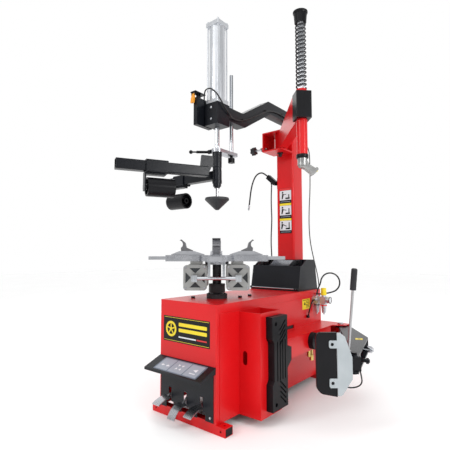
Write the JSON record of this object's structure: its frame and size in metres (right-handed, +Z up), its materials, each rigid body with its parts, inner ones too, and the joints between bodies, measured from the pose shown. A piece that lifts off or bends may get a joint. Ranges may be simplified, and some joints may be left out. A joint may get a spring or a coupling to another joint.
{
  "type": "tire changer machine",
  "caption": "Swing-arm tire changer with a clamping turntable, pedals, a side bead breaker and a pneumatic helper arm with rollers and a cone.",
  "frame": {"origin": "centre of the four floor anchor holes, at the underside of the foot rails", "axes": "+Z up from the floor, +X towards the bead breaker, +Y towards the column"},
  "size_m": [1.0466, 1.3036, 2.038],
  "materials": {
    "red_paint": "gloss",
    "black_paint": "satin",
    "black_plastic": "satin",
    "rubber": "matte",
    "hose_rubber": "satin",
    "chrome": "polished",
    "steel": "brushed",
    "aluminium": "satin",
    "cast_iron": "rough",
    "brass": "polished",
    "yellow_plastic": "gloss",
    "orange_plastic": "gloss",
    "panel_film": "satin"
  },
  "bodies": {
    "base": {"cabinet_shell": "red_paint", "foot_rails": "red_paint", "front_cover": "black_paint", "pedal_hood": "black_paint", "pad_bracket": "red_paint", "rubber_pads": "rubber", "side_box": "red_paint", "drain_fittings": "brass", "panels": "panel_film", "tool_tray": "black_paint", "column": "red_paint", "drive_units": "cast_iron", "base_fasteners": "steel", "frl_unit": "aluminium", "hose_block": "black_plastic", "inflator_hose": "hose_rubber", "drop_hose": "hose_rubber", "column_hose": "hose_rubber", "loop_hose": "hose_rubber"},
    "left_pedal": {"pedal_left": "steel"},
    "middle_pedal": {"pedal_middle": "steel"},
    "right_pedal": {"pedal_right": "steel"},
    "regulator": {"regulator_knob": "yellow_plastic"},
    "table": {"turntable": "steel", "chuck_unit": "aluminium"},
    "yoke": {"chuck_yoke": "chrome"},
    "clamp_1": {"jaw_1": "steel"},
    "clamp_2": {"jaw_2": "steel"},
    "clamp_3": {"jaw_3": "steel"},
    "clamp_4": {"jaw_4": "steel"},
    "stop": {"stop_screw": "black_plastic"},
    "swing": {"swing_arm": "red_paint", "lock_box": "black_plastic", "hex_spring": "black_paint"},
    "shaft": {"hex_shaft": "chrome", "shaft_cap": "black_plastic", "mount_head": "chrome"},
    "helper": {"helper_arm": "black_paint", "press_cylinder": "aluminium", "control_box": "black_paint", "arm_cable": "hose_rubber"},
    "finger_lever": {"control_lever": "orange_plastic"},
    "press": {"press_rods": "chrome", "press_plate": "steel", "tool_tube": "black_paint"},
    "foot_knob": {"plate_knob": "black_plastic"},
    "tool_lock": {"lock_handle": "black_plastic"},
    "centring_cone": {"cone": "black_plastic"},
    "roller_beam_1": {"roller_arm_1": "black_paint"},
    "roller_beam_2": {"roller_arm_2": "black_paint"},
    "roller_slide_1": {"slider_1": "black_paint"},
    "roller_slide_2": {"slider_2": "black_paint"},
    "roller_1": {"roller_drum_1": "black_plastic"},
    "roller_2": {"roller_drum_2": "black_plastic"},
    "breaker": {"breaker_arm": "black_paint", "breaker_handle": "steel", "breaker_hose": "hose_rubber"},
    "blade": {"breaker_blade": "steel", "blade_guard": "black_plastic"},
    "pull_rod": {"breaker_rod": "chrome"}
  },
  "joints": [
    {"name": "left_pedal_press", "type": "hinge", "parent": "base", "child": "left_pedal", "pos_m": [-0.105, -0.42, 0.104], "axis": [1, 0, 0], "range_deg": [0, 7], "stiffness_Nm_per_rad": 60, "springref_deg": -8.59},
    {"name": "middle_pedal_press", "type": "hinge", "parent": "base", "child": "middle_pedal", "pos_m": [-0.005, -0.42, 0.104], "axis": [1, 0, 0], "range_deg": [0, 7], "stiffness_Nm_per_rad": 60, "springref_deg": -8.59},
    {"name": "right_pedal_press", "type": "hinge", "parent": "base", "child": "right_pedal", "pos_m": [0.095, -0.42, 0.104], "axis": [1, 0, 0], "range_deg": [0, 7], "stiffness_Nm_per_rad": 60, "springref_deg": -8.59},
    {"name": "regulator_turn", "type": "hinge", "parent": "base", "child": "regulator", "pos_m": [0.25, 0.4, 0.53], "axis": [0, 0, 1], "range_deg": [-170, 170]},
    {"name": "turntable_spin", "type": "hinge", "parent": "base", "child": "table", "pos_m": [0, -0.288, 0.6], "axis": [0, 0, 1], "continuous": true},
    {"name": "yoke_slide", "type": "slide", "parent": "table", "child": "yoke", "axis": [0.6428, -0.766, 0], "range_m": [-0.03, 0.11]},
    {"name": "jaw_1_slide", "type": "slide", "parent": "table", "child": "clamp_1", "axis": [0.6428, -0.766, 0], "range_m": [-0.03, 0.11]},
    {"name": "jaw_2_slide", "type": "slide", "parent": "table", "child": "clamp_2", "axis": [0.766, 0.6428, 0], "range_m": [-0.03, 0.11]},
    {"name": "jaw_3_slide", "type": "slide", "parent": "table", "child": "clamp_3", "axis": [-0.6428, 0.766, 0], "range_m": [-0.03, 0.11]},
    {"name": "jaw_4_slide", "type": "slide", "parent": "table", "child": "clamp_4", "axis": [-0.766, -0.6428, 0], "range_m": [-0.03, 0.11]},
    {"name": "stop_turn", "type": "hinge", "parent": "base", "child": "stop", "pos_m": [-0.15, 0.272, 1.433], "axis": [1, 0, 0], "range_deg": [-180, 180]},
    {"name": "swing_arm_turn", "type": "hinge", "parent": "base", "child": "swing", "pos_m": [0, 0.332, 1.46], "axis": [0, 0, 1], "range_deg": [-24, 55]},
    {"name": "hex_shaft_slide", "type": "slide", "parent": "swing", "child": "shaft", "axis": [0, 0, 1], "range_m": [-0.22, 0], "deforming": ["hex_spring"]},
    {"name": "helper_arm_turn", "type": "hinge", "parent": "base", "child": "helper", "pos_m": [0, 0.446, 1.62], "axis": [0, 0, 1], "range_deg": [-95, 8]},
    {"name": "finger_lever_tilt", "type": "hinge", "parent": "helper", "child": "finger_lever", "pos_m": [-0.067, -0.395, 1.578], "axis": [1, 0, 0], "range_deg": [-8, 8], "stiffness_Nm_per_rad": 0.5},
    {"name": "press_slide", "type": "slide", "parent": "helper", "child": "press", "axis": [0, 0, 1], "range_m": [-0.21, 0.06]},
    {"name": "foot_knob_turn", "type": "hinge", "parent": "press", "child": "foot_knob", "pos_m": [0, -0.17, 1.26], "axis": [0, 0, 1], "range_deg": [-180, 180]},
    {"name": "tool_lock_pull", "type": "slide", "parent": "press", "child": "tool_lock", "axis": [-1, 0, 0], "range_m": [0, 0.006], "stiffness_N_per_m": 800, "springref_m": -0.003},
    {"name": "cone_turn", "type": "hinge", "parent": "press", "child": "centring_cone", "pos_m": [0, -0.288, 1], "axis": [0, 0, 1], "continuous": true},
    {"name": "roller_beam_1_turn", "type": "hinge", "parent": "press", "child": "roller_beam_1", "pos_m": [0, -0.288, 1.23], "axis": [0, 0, 1], "range_deg": [-14, 60]},
    {"name": "roller_beam_2_turn", "type": "hinge", "parent": "press", "child": "roller_beam_2", "pos_m": [0, -0.288, 1.164], "axis": [0, 0, 1], "range_deg": [-60, 14]},
    {"name": "roller_1_travel", "type": "slide", "parent": "roller_beam_1", "child": "roller_slide_1", "axis": [-0.4384, -0.8988, 0], "range_m": [-0.12, 0.12]},
    {"name": "roller_2_travel", "type": "slide", "parent": "roller_beam_2", "child": "roller_slide_2", "axis": [-1, 0, 0], "range_m": [-0.06, 0.07]},
    {"name": "roller_1_spin", "type": "hinge", "parent": "roller_slide_1", "child": "roller_1", "pos_m": [0, -0.288, 1.079], "axis": [-0.4384, -0.8988, 0], "continuous": true},
    {"name": "roller_2_spin", "type": "hinge", "parent": "roller_slide_2", "child": "roller_2", "pos_m": [0, -0.288, 1.052], "axis": [-1, 0, 0], "continuous": true},
    {"name": "breaker_arm_turn", "type": "hinge", "parent": "base", "child": "breaker", "pos_m": [0.325, 0.46, 0.3], "axis": [0, 0, 1], "range_deg": [-12, 20]},
    {"name": "blade_tilt", "type": "hinge", "parent": "breaker", "child": "blade", "pos_m": [0.634, -0.13, 0.3], "axis": [0, 0, 1], "range_deg": [-12, 12]},
    {"name": "pull_rod_slide", "type": "slide", "parent": "base", "child": "pull_rod", "axis": [1, 0, 0], "range_m": [-0.07, 0.115]}
  ],
  "couplings": [
    {"joint": "jaw_2_slide", "follows": "jaw_1_slide", "ratio": 1},
    {"joint": "jaw_3_slide", "follows": "jaw_1_slide", "ratio": 1},
    {"joint": "jaw_4_slide", "follows": "jaw_1_slide", "ratio": 1},
    {"joint": "yoke_slide", "follows": "jaw_1_slide", "ratio": 1},
    {"joint": "pull_rod_slide", "follows": "breaker_arm_turn", "m_per_rad": 0.32}
  ]
}
